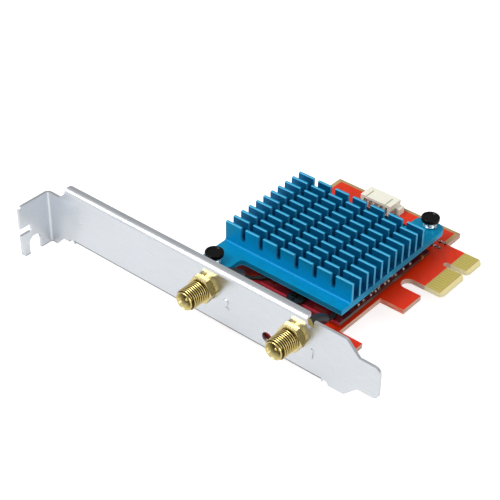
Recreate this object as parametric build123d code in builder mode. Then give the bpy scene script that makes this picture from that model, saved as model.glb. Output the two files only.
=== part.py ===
from build123d import *
import math
import os

# Plug-in wireless card with a full-height bracket, lying component side up, in millimetres.
# The origin is at the middle of the key notch, at the tips of the edge fingers, on the board's
# component face. +X is the way the card is pushed into its slot, so the bracket's screw tab is
# at the low end and its tongue at the high end. +Y runs away from the bracket. +Z is up.

# Bracket, folded from one strip of steel
BRACKET_LENGTH = 120.02
PLATE_WIDTH = 18.42
SHEET = 0.86
BEND_RADIUS = 1.6
TAB_DEPTH = 11.43
TAB_DROP = 3.17
TAB_RECESS = 4.0
TAB_CORNER = 1.6
TAB_SLOT_WIDTH = 2.4
TAB_SLOT_DEPTH = 4.0
TAB_SLOT_RISE = 8.9
SCREW_NOTCH_WIDTH = 4.42
SCREW_NOTCH_TO_FACE = 6.4
SCREW_NOTCH_RISE = 5.6
NECK_LENGTH = 5.5
STEP_START = 3.0
FLANGE_DEPTH = 2.8
TOP_FLANGE_START = 8.0
TOP_FLANGE_LENGTH = 88.4
LOW_FLANGE_START = 10.7
LOW_FLANGE_LENGTH = 91.5
TOP_RELIEF_WIDTH = 2.7
TOP_RELIEF_DEPTH = 2.9
LOW_RELIEF_RADIUS = 1.1
TONGUE_WIDTH = 10.19
TONGUE_LENGTH = 6.5
TONGUE_CORNER = 1.9
SHOULDER_ROUND = 1.6
LIGHT_HOLE_RADIUS = 1.75
LIGHT_HOLE_RISE = 0.3
LIGHT_HOLE_FROM_TAB = 84.0
BOARD_EAR_WIDTH = 7.4
BOARD_EAR_REACH = 11.2
BOARD_EAR_JOG = 1.7
BOARD_EAR_HOLE = 1.5
BOARD_EAR_PITCH = 24.3

# Where the bracket stands against the board
TAB_TO_TIP = 108.7
FACE_TO_KEY = 58.2
EDGE_TO_BOARD = 4.57

# Main board
BOARD_THICKNESS = 1.57
BOARD_LENGTH = 44.2
BOARD_SETBACK = 1.3
BOARD_FAR = 15.2
FINGER_REACH = 12.1
KEY_WIDTH = 1.9
KEY_DEPTH = 7.8
NEAR_FINGERS = 11
FAR_FINGERS = 7
FINGER_PITCH = 1.0
FINGER_EDGE = 0.6
KEY_TO_FINGER = 1.5
FINGER_WIDTH = 0.7
FINGER_LENGTH = 4.4
FINGER_TIP_GAP = 1.3
FINGER_PLATING = 0.05
BEVEL_LENGTH = 1.2
BEVEL_DEPTH = 0.35
TIP_CHAMFER = 0.8
HOOK_SLOT = 4.4
HOOK_WIDTH = 8.2
HOOK_REACH = 7.8
LEG_WIDTH = 13.6
LEG_REACH = 7.6
BOARD_CORNER = 0.5

# Heatsink, sawn from an extrusion
SINK_LENGTH = 44.2
SINK_DEPTH = 41.9
SINK_BASE = 1.6
SINK_LIFT = 4.53
SINK_FROM_KEY = 21.35
SINK_SETBACK = 0.35
PLINTH_HEIGHT = 0.35
PLINTH_PROUD = 0.35
FIN_HEIGHT = 6.3
FIN_THICKNESS = 0.8
FIN_ROWS = 11
FIN_ROW_PITCH = 3.27
CROSS_CUTS = 6
CROSS_CUT_PITCH = 6.3
CROSS_CUT_WIDTH = 1.65
CROSS_CUT_DEPTH = 4.3
EAR_WIDTH = 9.4
EAR_ROUND = 3.0
EAR_ROOT = 1.5

# Spring-loaded push pins
PIN_FROM_SIDE = 4.25
PIN_INSET = 2.7
PIN_TO_MODULE = 3.5
PIN_TO_SOCKET = 0.3
PIN_HEAD_RADIUS = 2.7
PIN_HEAD_HEIGHT = 1.3
PIN_DISH = 0.3
PIN_RIM = 0.55
PIN_SHANK = 1.2
PIN_FIT = 0.08
PIN_HOLE_GAP = 0.3
PIN_HEAD_ROUND = 0.25
PIN_BARB = 1.85
PIN_BARB_LENGTH = 2.2
PIN_TIP = 0.7
PIN_SLIT = 0.6
PIN_SLIT_LENGTH = 4.2
PIN_SEAT_GAP = 0.05
SPRING_HEIGHT = 2.0
SPRING_WIRE = 0.3
SPRING_RADIUS = 1.85
SPRING_TURNS = 2.5
SPRING_GAP = 0.02

# Wireless module, its socket and its screw
MODULE_WIDTH = 30.0
MODULE_LENGTH = 45.3
MODULE_THICKNESS = 1.0
MODULE_LIFT = 1.63
MODULE_INSET = 0.2
MODULE_FROM_FACE = 15.1
MODULE_TONGUE_WIDTH = 19.8
MODULE_TONGUE = 3.0
MODULE_NOTCH = 1.75
SHIELD_WIDTH = 23.0
SHIELD_LENGTH = 26.0
SHIELD_HEIGHT = 1.55
SHIELD_ROUND = 0.7
SHIELD_FROM_END = 8.0
PAD_MARGIN = 1.0
SOCKET_WIDTH = 22.0
SOCKET_DEPTH = 7.2
SOCKET_HEIGHT = 4.0
SOCKET_GAP = 0.2
SOCKET_LEADS = 15
SOCKET_LEAD_PITCH = 1.2
SOCKET_LEAD_WIDTH = 0.4
SOCKET_LEAD_LENGTH = 1.4
SOCKET_LEAD_THICKNESS = 0.2
STANDOFF_RADIUS = 2.6
MODULE_SCREW_HEAD = 2.6
MODULE_SCREW_HEIGHT = 0.9
MODULE_SCREW_SHANK = 1.0
MODULE_SCREW_LENGTH = 2.4

# Aerial sockets on the module
AERIAL_BASE = 2.6
AERIAL_BASE_HEIGHT = 0.4
AERIAL_RING = 1.0
AERIAL_RING_HEIGHT = 0.6
AERIAL_FROM_END = 4.6
PLUG_RADIUS = 1.4
PLUG_HEIGHT = 1.15
PLUG_BARREL = 0.68
PLUG_BARREL_LENGTH = 1.4
PLUG_GAP = 0.05

# Aerial jacks through the bracket
JACK_FROM_EAR = 1.1
JACK_2_FROM_TAB = 93.25
JACK_RISE = 6.73
THREAD_RADIUS = 3.175
THREAD_LENGTH = 9.1
GRIP_DEPTH = 0.38
GRIP_STEP = 0.05
THREAD_CHAMFER = 0.35
JACK_HOLE_GAP = 0.1
JACK_BORE = 2.35
JACK_BORE_DEPTH = 4.4
JACK_HEX = 8.0
JACK_HEX_DEPTH = 2.6
JACK_NECK = 2.3
JACK_NECK_LENGTH = 0.8
NUT_HEX = 7.4
NUT_DEPTH = 2.2
NUT_GAP = 0.03
NUT_CHAMFER = 0.25
WASHER_RADIUS = 3.9
WASHER_DEPTH = 0.6
WASHER_NOTCHES = 12
WASHER_NOTCH = 0.5
CORE_GAP = 0.02
CORE_DEPTH = 1.2
CONTACT_RADIUS = 0.46
CONTACT_REACH = 3.4

# Leads from the jacks to the module
CABLE_RADIUS = 0.565
SLEEVE_RADIUS = 1.45
SLEEVE_SHARE = 0.6
ARC_SHARE = 0.45
LEAD_LIFT = 0.77
TURN_FROM_FACE = 8.5
DROP_FROM_FACE = 14.0
DROP_1_ASIDE = 4.85
DROP_2_ASIDE = 0.95
PLUG_1_FROM_TAB = 72.0
PLUG_2_FROM_TAB = 92.3

# Small header for a data lead
HEADER_WIDTH = 10.8
HEADER_DEPTH = 5.4
HEADER_HEIGHT = 4.1
HEADER_FROM_EDGE = 2.0
HEADER_FROM_SIDE = 13.2
HEADER_WALL = 0.8
HEADER_BACK = 1.8
HEADER_RECESS = 0.6
HEADER_RECESS_WIDTH = 8.6
HEADER_EAVE = 0.8
HEADER_GROOVE_WIDTH = 0.5
HEADER_GROOVE_DEPTH = 0.5
HEADER_GROOVE_PITCH = 6.9
HEADER_GROOVE_LENGTH = 4.0
HEADER_FOOT_DEPTH = 2.6
HEADER_FOOT_HEIGHT = 2.2
HEADER_FOOT_WIDTH = 1.4
HEADER_PINS = 5
HEADER_PITCH = 1.94
HEADER_PIN = 0.5
HEADER_PIN_RISE = 2.5
HEADER_PIN_OUT = 0.45
HEADER_PIN_REACH = 4.2
HEADER_PIN_FOOT = 0.6
ANCHOR_THICKNESS = 0.3
ANCHOR_LENGTH = 2.6
ANCHOR_RISE = 2.4
ANCHOR_FOOT = 1.3

# Fasteners and small parts on the boards
BOARD_SCREW_RADIUS = 1.45
BOARD_SCREW_HEAD = 2.7
BOARD_SCREW_HEIGHT = 1.8
BOARD_SCREW_FROM_FACE = 7.6
BOARD_SCREW_LENGTH = 3.2
BOARD_HOLE_GAP = 0.15
CROSS_SLOT_WIDTH = 0.6
CROSS_SLOT_LENGTH = 2.8
CROSS_SLOT_DEPTH = 0.9
CHIP_SIZE = 1.0
CHIP_DEPTH = 0.6
CHIP_HEIGHT = 0.5
MODULE_CHIPS = 4
MODULE_CHIP_PITCH = 3.0
MODULE_CHIP_INSET = 1.6
BOARD_CHIP_PITCH = 1.4
BOARD_CHIP_STEP = 2.8
BOARD_CHIP_INSET = 1.3

os.makedirs("parts", exist_ok=True)

# Places that several pieces share
tab_x = -TAB_TO_TIP
face_y = -FACE_TO_KEY
low_z = -EDGE_TO_BOARD
high_z = low_z + PLATE_WIDTH
back_y = face_y + SHEET
board_under = -BOARD_THICKNESS
face_plane = Plane.XZ.offset(-face_y)

board_right = -FINGER_REACH
board_left = board_right - BOARD_LENGTH
board_near = face_y + BOARD_SETBACK
near_edge = -KEY_TO_FINGER - (NEAR_FINGERS - 1) * FINGER_PITCH - FINGER_EDGE
far_edge = KEY_TO_FINGER + (FAR_FINGERS - 1) * FINGER_PITCH + FINGER_EDGE
leg_top = board_near + LEG_WIDTH
hook_far = near_edge - HOOK_SLOT
hook_near = hook_far - HOOK_WIDTH

screw_y = face_y + BOARD_SCREW_FROM_FACE
right_screw_x = tab_x + LOW_FLANGE_START + LOW_FLANGE_LENGTH - BOARD_EAR_WIDTH / 2
board_screw_spots = [(right_screw_x - BOARD_EAR_PITCH, screw_y), (right_screw_x, screw_y)]

module_right = board_right - MODULE_INSET
module_x = module_right - MODULE_WIDTH / 2
module_near = face_y + MODULE_FROM_FACE
module_far = module_near + MODULE_LENGTH
module_top = MODULE_LIFT + MODULE_THICKNESS
module_shoulder = module_far - MODULE_TONGUE
socket_near = module_shoulder + SOCKET_GAP
socket_far = socket_near + SOCKET_DEPTH - MODULE_TONGUE

# The pins pass the module in front of its free edge and behind its socket
sink_left = board_right - SINK_SETBACK - SINK_LENGTH
sink_x = sink_left + SINK_LENGTH / 2
sink_y = -SINK_FROM_KEY
sink_top = SINK_LIFT + SINK_BASE
near_pin = (sink_left + PIN_FROM_SIDE, module_near - PIN_SHANK - PIN_TO_MODULE)
far_pin = (sink_left + SINK_LENGTH - PIN_FROM_SIDE, socket_far + PIN_SHANK + PIN_TO_SOCKET)
near_ear_end = near_pin[1] - PIN_INSET
far_ear_end = far_pin[1] + PIN_INSET

jack_z = JACK_RISE
jack_spots = [sink_left + EAR_WIDTH + JACK_FROM_EAR, tab_x + JACK_2_FROM_TAB]
grip_radius = THREAD_RADIUS - GRIP_DEPTH
light_x = tab_x + LIGHT_HOLE_FROM_TAB
nut_start = face_y - WASHER_DEPTH
nut_end = nut_start - NUT_DEPTH
nut_corner = NUT_HEX / math.sqrt(3)


# Bracket
top_flange_end = TOP_FLANGE_START + TOP_FLANGE_LENGTH
low_flange_end = LOW_FLANGE_START + LOW_FLANGE_LENGTH
flange_runs = (
    (TOP_FLANGE_START, TOP_FLANGE_LENGTH, high_z, 1),
    (LOW_FLANGE_START, LOW_FLANGE_LENGTH, low_z, -1),
)
bend_y = face_y + BEND_RADIUS
lip_y = face_y + FLANGE_DEPTH
inner_radius = BEND_RADIUS - SHEET
tongue_start = BRACKET_LENGTH - TONGUE_LENGTH
tongue_side = (PLATE_WIDTH - TONGUE_WIDTH) / 2
neck_top = high_z - TAB_RECESS
neck_low = low_z - TAB_DROP

with BuildPart() as bracket:
    with BuildSketch(face_plane) as plate_outline:
        with BuildLine():
            Polyline(
                (tab_x + BEND_RADIUS, neck_low),
                (tab_x + STEP_START, neck_low),
                (tab_x + STEP_START + TAB_DROP, low_z),
                (tab_x + LOW_FLANGE_START, low_z),
                (tab_x + LOW_FLANGE_START, low_z + BEND_RADIUS),
                (tab_x + low_flange_end, low_z + BEND_RADIUS),
                (tab_x + low_flange_end, low_z),
                (tab_x + tongue_start - tongue_side, low_z),
                (tab_x + tongue_start, low_z + tongue_side),
                (tab_x + BRACKET_LENGTH, low_z + tongue_side),
                (tab_x + BRACKET_LENGTH, high_z - tongue_side),
                (tab_x + tongue_start, high_z - tongue_side),
                (tab_x + tongue_start - tongue_side, high_z),
                (tab_x + top_flange_end, high_z),
                (tab_x + top_flange_end, high_z - BEND_RADIUS),
                (tab_x + TOP_FLANGE_START, high_z - BEND_RADIUS),
                (tab_x + NECK_LENGTH, neck_top),
                (tab_x + BEND_RADIUS, neck_top),
                close=True,
            )
        make_face()
        tongue_end = plate_outline.vertices().group_by(Axis.X)[-1]
        fillet(tongue_end, TONGUE_CORNER)
        shoulder_x = tab_x + tongue_start - tongue_side
        shoulders = plate_outline.vertices().filter_by(
            lambda corner: abs(corner.X - shoulder_x) < SHEET and corner.X < shoulder_x + SHEET
        )
        fillet(shoulders, SHOULDER_ROUND)
    extrude(amount=-SHEET)
    # Bend and lip along each long edge
    for start, length, edge, side in flange_runs:
        bend = edge - side * BEND_RADIUS
        with BuildSketch(Plane.YZ.offset(tab_x + start)):
            with BuildLine():
                outside = CenterArc((bend_y, bend), BEND_RADIUS, 180, -side * 90)
                inside = CenterArc((bend_y, bend), inner_radius, 180, -side * 90)
                Polyline(outside @ 1, (lip_y, edge), (lip_y, edge - side * SHEET), inside @ 1)
                Line(inside @ 0, outside @ 0)
            make_face()
        extrude(amount=length)
    lip_corners = bracket.edges().filter_by(Axis.Z).group_by(Axis.Y)[-1]
    fillet(lip_corners, SHEET)
    # The screw tab and the bend that joins it to the neck
    with BuildSketch(Plane.XY.offset(neck_low)):
        with BuildLine():
            outside = CenterArc((tab_x + BEND_RADIUS, back_y - BEND_RADIUS), BEND_RADIUS, 180, -90)
            inside = CenterArc((tab_x + BEND_RADIUS, back_y - BEND_RADIUS), inner_radius, 180, -90)
            Polyline(
                outside @ 0,
                (tab_x, face_y - TAB_DEPTH),
                (tab_x + SHEET, face_y - TAB_DEPTH),
                inside @ 0,
            )
            Line(inside @ 1, outside @ 1)
        make_face()
    extrude(amount=neck_top - neck_low)
    tab_tips = bracket.edges().filter_by(Axis.X).group_by(Axis.Y)[0]
    fillet(tab_tips, TAB_CORNER)
    # The open slot and the screw notch in the tab
    with BuildSketch(Plane.YZ.offset(tab_x)):
        with Locations((face_y - TAB_DEPTH, neck_low + TAB_SLOT_RISE)):
            Rectangle(2 * TAB_SLOT_DEPTH, TAB_SLOT_WIDTH)
        with Locations((face_y - SCREW_NOTCH_TO_FACE, neck_low)):
            SlotOverall(2 * SCREW_NOTCH_RISE, SCREW_NOTCH_WIDTH, rotation=90)
    extrude(amount=SHEET, mode=Mode.SUBTRACT)
    # Bend reliefs, the holes for the jacks and the hole for the light
    with BuildSketch(face_plane):
        with Locations((tab_x + top_flange_end + TOP_RELIEF_WIDTH / 2, high_z)):
            SlotOverall(2 * TOP_RELIEF_DEPTH, TOP_RELIEF_WIDTH, rotation=90)
        with Locations(
            (tab_x + low_flange_end + LOW_RELIEF_RADIUS, low_z),
            (tab_x + LOW_FLANGE_START - LOW_RELIEF_RADIUS, low_z),
        ):
            Circle(LOW_RELIEF_RADIUS)
        with Locations((light_x, LIGHT_HOLE_RISE)):
            Circle(LIGHT_HOLE_RADIUS)
        for jack_x in jack_spots:
            with Locations((jack_x, jack_z)):
                Circle(THREAD_RADIUS + JACK_HOLE_GAP)
    extrude(amount=-SHEET, mode=Mode.SUBTRACT)
    # Two ears that rise from the lower lip to the underside of the board
    for ear_middle, _ in board_screw_spots:
        with BuildSketch(Plane.YZ.offset(ear_middle - BOARD_EAR_WIDTH / 2)):
            with BuildLine():
                Polyline(
                    (bend_y, low_z),
                    (lip_y, low_z),
                    (lip_y + BOARD_EAR_JOG, board_under - SHEET),
                    (face_y + BOARD_EAR_REACH, board_under - SHEET),
                    (face_y + BOARD_EAR_REACH, board_under),
                    (lip_y + BOARD_EAR_JOG - SHEET / 2, board_under),
                    (lip_y - SHEET / 2, low_z + SHEET),
                    (bend_y, low_z + SHEET),
                    close=True,
                )
            make_face()
        extrude(amount=BOARD_EAR_WIDTH)
    with BuildSketch(Plane.XY.offset(board_under)):
        with Locations(*board_screw_spots):
            Circle(BOARD_EAR_HOLE)
    extrude(amount=-SHEET, mode=Mode.SUBTRACT)
bracket.part.label = "bracket"
export_step(bracket.part, "parts/bracket.step")

# Main board
with BuildPart() as main_board:
    with BuildSketch() as board_outline:
        with BuildLine():
            Polyline(
                (board_left, board_near),
                (board_right + LEG_REACH, board_near),
                (board_right + LEG_REACH, leg_top),
                (board_right, leg_top),
                (board_right, hook_near),
                (board_right + HOOK_REACH, hook_near),
                (board_right + HOOK_REACH, hook_far),
                (board_right + HOOK_SLOT / 2, hook_far),
                (board_right + HOOK_SLOT / 2, near_edge),
                (0, near_edge),
                (0, far_edge),
                (board_right, far_edge),
                (board_right, BOARD_FAR),
                (board_left, BOARD_FAR),
                close=True,
            )
        make_face()
        with Locations((board_right + HOOK_SLOT / 2, (hook_far + near_edge) / 2)):
            Circle(HOOK_SLOT / 2, mode=Mode.SUBTRACT)
        with Locations((0, 0)):
            SlotOverall(2 * KEY_DEPTH, KEY_WIDTH, mode=Mode.SUBTRACT)
        finger_tips = board_outline.vertices().group_by(Axis.X)[-1]
        chamfer(finger_tips, TIP_CHAMFER)
        free_corners = board_outline.vertices().group_by(Axis.X)[0]
        fillet(free_corners, BOARD_CORNER)
    extrude(amount=-BOARD_THICKNESS)
    # Bevel that leads the finger edge into its slot
    with BuildSketch(Plane.XZ.offset(-far_edge)):
        with BuildLine():
            Polyline((-BEVEL_LENGTH, 0), (0, 0), (0, -BEVEL_DEPTH), close=True)
        make_face()
        with BuildLine():
            Polyline(
                (-BEVEL_LENGTH, board_under),
                (0, board_under),
                (0, board_under + BEVEL_DEPTH),
                close=True,
            )
        make_face()
    extrude(amount=far_edge - near_edge, mode=Mode.SUBTRACT)
    with BuildSketch():
        with Locations(*board_screw_spots):
            Circle(BOARD_SCREW_RADIUS + BOARD_HOLE_GAP)
        with Locations(near_pin, far_pin):
            Circle(PIN_SHANK + PIN_HOLE_GAP)
    extrude(amount=-BOARD_THICKNESS, mode=Mode.SUBTRACT)
main_board.part.label = "main_board"
export_step(main_board.part, "parts/main_board.step")

# Gold fingers on both faces of the edge
finger_spots = []
for index in range(NEAR_FINGERS):
    finger_spots.append(-KEY_TO_FINGER - index * FINGER_PITCH)
for index in range(FAR_FINGERS):
    finger_spots.append(KEY_TO_FINGER + index * FINGER_PITCH)
finger_x = -FINGER_TIP_GAP - FINGER_LENGTH / 2

for label, height in (("edge_fingers_top", 0), ("edge_fingers_under", board_under - FINGER_PLATING)):
    with BuildPart() as edge_fingers:
        with BuildSketch(Plane.XY.offset(height)):
            with Locations(*[(finger_x, spot) for spot in finger_spots]):
                Rectangle(FINGER_LENGTH, FINGER_WIDTH)
        extrude(amount=FINGER_PLATING)
    edge_fingers.part.label = label
    export_step(edge_fingers.part, f"parts/{label}.step")

# Heatsink: base with two ears, a low plinth, rows of fins and cross cuts through the rows
fins_deep = (FIN_ROWS - 1) * FIN_ROW_PITCH + FIN_THICKNESS
with BuildPart() as heatsink:
    with BuildSketch(Plane.XY.offset(SINK_LIFT)) as sink_outline:
        with Locations((sink_x, sink_y)):
            Rectangle(SINK_LENGTH, SINK_DEPTH)
        with Locations((sink_left + EAR_WIDTH / 2, (near_ear_end + sink_y) / 2)):
            Rectangle(EAR_WIDTH, sink_y - near_ear_end)
        with Locations((sink_left + SINK_LENGTH - EAR_WIDTH / 2, (far_ear_end + sink_y) / 2)):
            Rectangle(EAR_WIDTH, far_ear_end - sink_y)
        near_round = sink_outline.vertices().group_by(Axis.Y)[0]
        fillet(near_round, EAR_ROUND)
        far_round = sink_outline.vertices().group_by(Axis.Y)[-1]
        fillet(far_round, EAR_ROUND)
        for side in (-1, 1):
            inner_x = sink_x + side * (SINK_LENGTH / 2 - EAR_WIDTH)
            inner_corner = (inner_x, sink_y + side * SINK_DEPTH / 2, SINK_LIFT)
            fillet(sink_outline.vertices().sort_by_distance(inner_corner)[0], EAR_ROOT)
    extrude(amount=SINK_BASE)
    with BuildSketch(Plane.XY.offset(sink_top)):
        with Locations((sink_x, sink_y)):
            Rectangle(SINK_LENGTH, fins_deep + 2 * PLINTH_PROUD)
    extrude(amount=PLINTH_HEIGHT)
    with BuildSketch(Plane.XY.offset(sink_top)):
        with Locations((sink_x, sink_y)):
            with GridLocations(SINK_LENGTH, FIN_ROW_PITCH, 1, FIN_ROWS):
                Rectangle(SINK_LENGTH, FIN_THICKNESS)
    extrude(amount=FIN_HEIGHT)
    with BuildSketch(Plane.XZ.offset(-sink_y - fins_deep / 2)):
        with Locations((sink_x, sink_top + FIN_HEIGHT)):
            with GridLocations(CROSS_CUT_PITCH, FIN_HEIGHT, CROSS_CUTS, 1):
                SlotOverall(2 * CROSS_CUT_DEPTH, CROSS_CUT_WIDTH, rotation=90)
    extrude(amount=fins_deep, mode=Mode.SUBTRACT)
    with BuildSketch(Plane.XY.offset(SINK_LIFT)):
        with Locations(near_pin, far_pin):
            Circle(PIN_SHANK + PIN_FIT)
    extrude(amount=SINK_BASE, mode=Mode.SUBTRACT)
heatsink.part.label = "heatsink"
export_step(heatsink.part, "parts/heatsink.step")

# Push pins and the springs under their heads
head_under = sink_top + SPRING_HEIGHT
head_top = head_under + PIN_HEAD_HEIGHT
barb_top = board_under - PIN_SEAT_GAP
pin_tip = barb_top - PIN_BARB_LENGTH

for side, (pin_x, pin_y) in (("near", near_pin), ("far", far_pin)):
    pin_axis = Axis((pin_x, pin_y, 0), (0, 0, 1))
    with BuildPart() as push_pin:
        with BuildSketch(Plane.XZ.offset(-pin_y)):
            with BuildLine():
                Polyline(
                    (pin_x, head_top - PIN_DISH),
                    (pin_x + PIN_HEAD_RADIUS - PIN_RIM - PIN_DISH, head_top - PIN_DISH),
                    (pin_x + PIN_HEAD_RADIUS - PIN_RIM, head_top),
                    (pin_x + PIN_HEAD_RADIUS, head_top),
                    (pin_x + PIN_HEAD_RADIUS, head_under),
                    (pin_x + PIN_SHANK, head_under),
                    (pin_x + PIN_SHANK, barb_top),
                    (pin_x + PIN_BARB, barb_top),
                    (pin_x + PIN_BARB, barb_top - PIN_RIM),
                    (pin_x + PIN_TIP, pin_tip),
                    (pin_x, pin_tip),
                    close=True,
                )
            make_face()
        revolve(axis=pin_axis)
        head_edges = push_pin.edges().filter_by(GeomType.CIRCLE).filter_by(
            lambda edge: abs(edge.radius - PIN_HEAD_RADIUS) < PIN_FIT
        )
        fillet(head_edges, PIN_HEAD_ROUND)
        with BuildSketch(Plane.XY.offset(pin_tip)):
            with Locations((pin_x, pin_y)):
                Rectangle(PIN_SLIT, 2 * PIN_BARB)
        extrude(amount=PIN_SLIT_LENGTH, mode=Mode.SUBTRACT)
    push_pin.part.label = f"push_pin_{side}"
    export_step(push_pin.part, f"parts/push_pin_{side}.step")

    coil_height = SPRING_HEIGHT - SPRING_WIRE - 2 * SPRING_GAP
    coil_plane = Plane((pin_x, pin_y, sink_top + SPRING_WIRE / 2 + SPRING_GAP))
    with BuildPart() as pin_spring:
        with BuildLine(coil_plane) as coil:
            Helix(pitch=coil_height / SPRING_TURNS, height=coil_height, radius=SPRING_RADIUS)
        with BuildSketch(Plane(coil.line @ 0, z_dir=coil.line % 0)):
            Circle(SPRING_WIRE / 2)
        sweep(is_frenet=True)
    pin_spring.part.label = f"pin_spring_{side}"
    export_step(pin_spring.part, f"parts/pin_spring_{side}.step")

# Module board with its tongue in the socket and a half-round notch for the screw
with BuildPart() as module_board:
    with BuildSketch(Plane.XY.offset(MODULE_LIFT)):
        with Locations((module_x, (module_near + module_shoulder) / 2)):
            Rectangle(MODULE_WIDTH, module_shoulder - module_near)
        with Locations((module_x, module_shoulder)):
            Rectangle(MODULE_TONGUE_WIDTH, 2 * MODULE_TONGUE)
        with Locations((module_x, module_near)):
            Circle(MODULE_NOTCH, mode=Mode.SUBTRACT)
    extrude(amount=MODULE_THICKNESS)
module_board.part.label = "module_board"
export_step(module_board.part, "parts/module_board.step")

shield_y = module_near + SHIELD_FROM_END + SHIELD_LENGTH / 2
with BuildPart() as module_shield:
    with BuildSketch(Plane.XY.offset(module_top)):
        with Locations((module_x, shield_y)):
            RectangleRounded(SHIELD_WIDTH, SHIELD_LENGTH, SHIELD_ROUND)
    extrude(amount=SHIELD_HEIGHT)
module_shield.part.label = "module_shield"
export_step(module_shield.part, "parts/module_shield.step")

with BuildPart() as thermal_pad:
    with BuildSketch(Plane.XY.offset(module_top + SHIELD_HEIGHT)):
        with Locations((module_x, shield_y)):
            Rectangle(SHIELD_WIDTH - 2 * PAD_MARGIN, SHIELD_LENGTH - 2 * PAD_MARGIN)
    extrude(amount=SINK_LIFT - module_top - SHIELD_HEIGHT)
thermal_pad.part.label = "thermal_pad"
export_step(thermal_pad.part, "parts/thermal_pad.step")

# Socket for the module's tongue, with its row of leads
slot_low = MODULE_LIFT - SOCKET_GAP / 4
with BuildPart() as module_socket:
    with BuildSketch():
        with Locations((module_x, (socket_near + socket_far) / 2)):
            Rectangle(SOCKET_WIDTH, socket_far - socket_near)
    extrude(amount=SOCKET_HEIGHT)
    with BuildSketch(Plane.XY.offset(slot_low)):
        with Locations((module_x, socket_near)):
            Rectangle(MODULE_TONGUE_WIDTH + SOCKET_GAP, 2 * MODULE_TONGUE)
    extrude(amount=MODULE_THICKNESS + SOCKET_GAP / 2, mode=Mode.SUBTRACT)
module_socket.part.label = "module_socket"
export_step(module_socket.part, "parts/module_socket.step")

with BuildPart() as socket_leads:
    with BuildSketch():
        with Locations((module_x, socket_far + SOCKET_LEAD_LENGTH / 2)):
            with GridLocations(SOCKET_LEAD_PITCH, 0, SOCKET_LEADS, 1):
                Rectangle(SOCKET_LEAD_WIDTH, SOCKET_LEAD_LENGTH)
    extrude(amount=SOCKET_LEAD_THICKNESS)
socket_leads.part.label = "socket_leads"
export_step(socket_leads.part, "parts/socket_leads.step")

# Standoff and screw that hold the module's free end
module_hole = (module_x, module_near)
with BuildPart() as module_standoff:
    with BuildSketch():
        with Locations(module_hole):
            Circle(STANDOFF_RADIUS)
            Circle(MODULE_SCREW_SHANK, mode=Mode.SUBTRACT)
    extrude(amount=MODULE_LIFT)
module_standoff.part.label = "module_standoff"
export_step(module_standoff.part, "parts/module_standoff.step")

with BuildPart() as module_screw:
    with BuildSketch(Plane.XY.offset(module_top)):
        with Locations(module_hole):
            Circle(MODULE_SCREW_HEAD)
    extrude(amount=MODULE_SCREW_HEIGHT)
    with BuildSketch(Plane.XY.offset(module_top)):
        with Locations(module_hole):
            Circle(MODULE_SCREW_SHANK)
    extrude(amount=-MODULE_SCREW_LENGTH)
    with BuildSketch(Plane.XY.offset(module_top + MODULE_SCREW_HEIGHT)):
        with Locations(module_hole):
            Rectangle(CROSS_SLOT_LENGTH, CROSS_SLOT_WIDTH)
            Rectangle(CROSS_SLOT_WIDTH, CROSS_SLOT_LENGTH)
    extrude(amount=-MODULE_SCREW_HEIGHT / 2, mode=Mode.SUBTRACT)
module_screw.part.label = "module_screw"
export_step(module_screw.part, "parts/module_screw.step")

# Aerial sockets on the module and the plugs that snap over them
aerial_y = module_near + AERIAL_FROM_END
aerial_spots = [(tab_x + PLUG_1_FROM_TAB, aerial_y), (tab_x + PLUG_2_FROM_TAB, aerial_y)]
plug_z = module_top + AERIAL_BASE_HEIGHT
lead_z = module_top + LEAD_LIFT

with BuildPart() as aerial_sockets:
    with BuildSketch(Plane.XY.offset(module_top)):
        with Locations(*aerial_spots):
            Rectangle(AERIAL_BASE, AERIAL_BASE)
    extrude(amount=AERIAL_BASE_HEIGHT)
    with BuildSketch(Plane.XY.offset(plug_z)):
        with Locations(*aerial_spots):
            Circle(AERIAL_RING)
    extrude(amount=AERIAL_RING_HEIGHT)
aerial_sockets.part.label = "aerial_sockets"
export_step(aerial_sockets.part, "parts/aerial_sockets.step")

# Each lead runs straight back from its jack, drops to the module and ends at its plug
drop_spots = [
    (jack_spots[0] + DROP_1_ASIDE, face_y + DROP_FROM_FACE),
    (jack_spots[1] + DROP_2_ASIDE, face_y + DROP_FROM_FACE),
]
neck_end = back_y + JACK_HEX_DEPTH + JACK_NECK_LENGTH
turn_y = face_y + TURN_FROM_FACE

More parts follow.
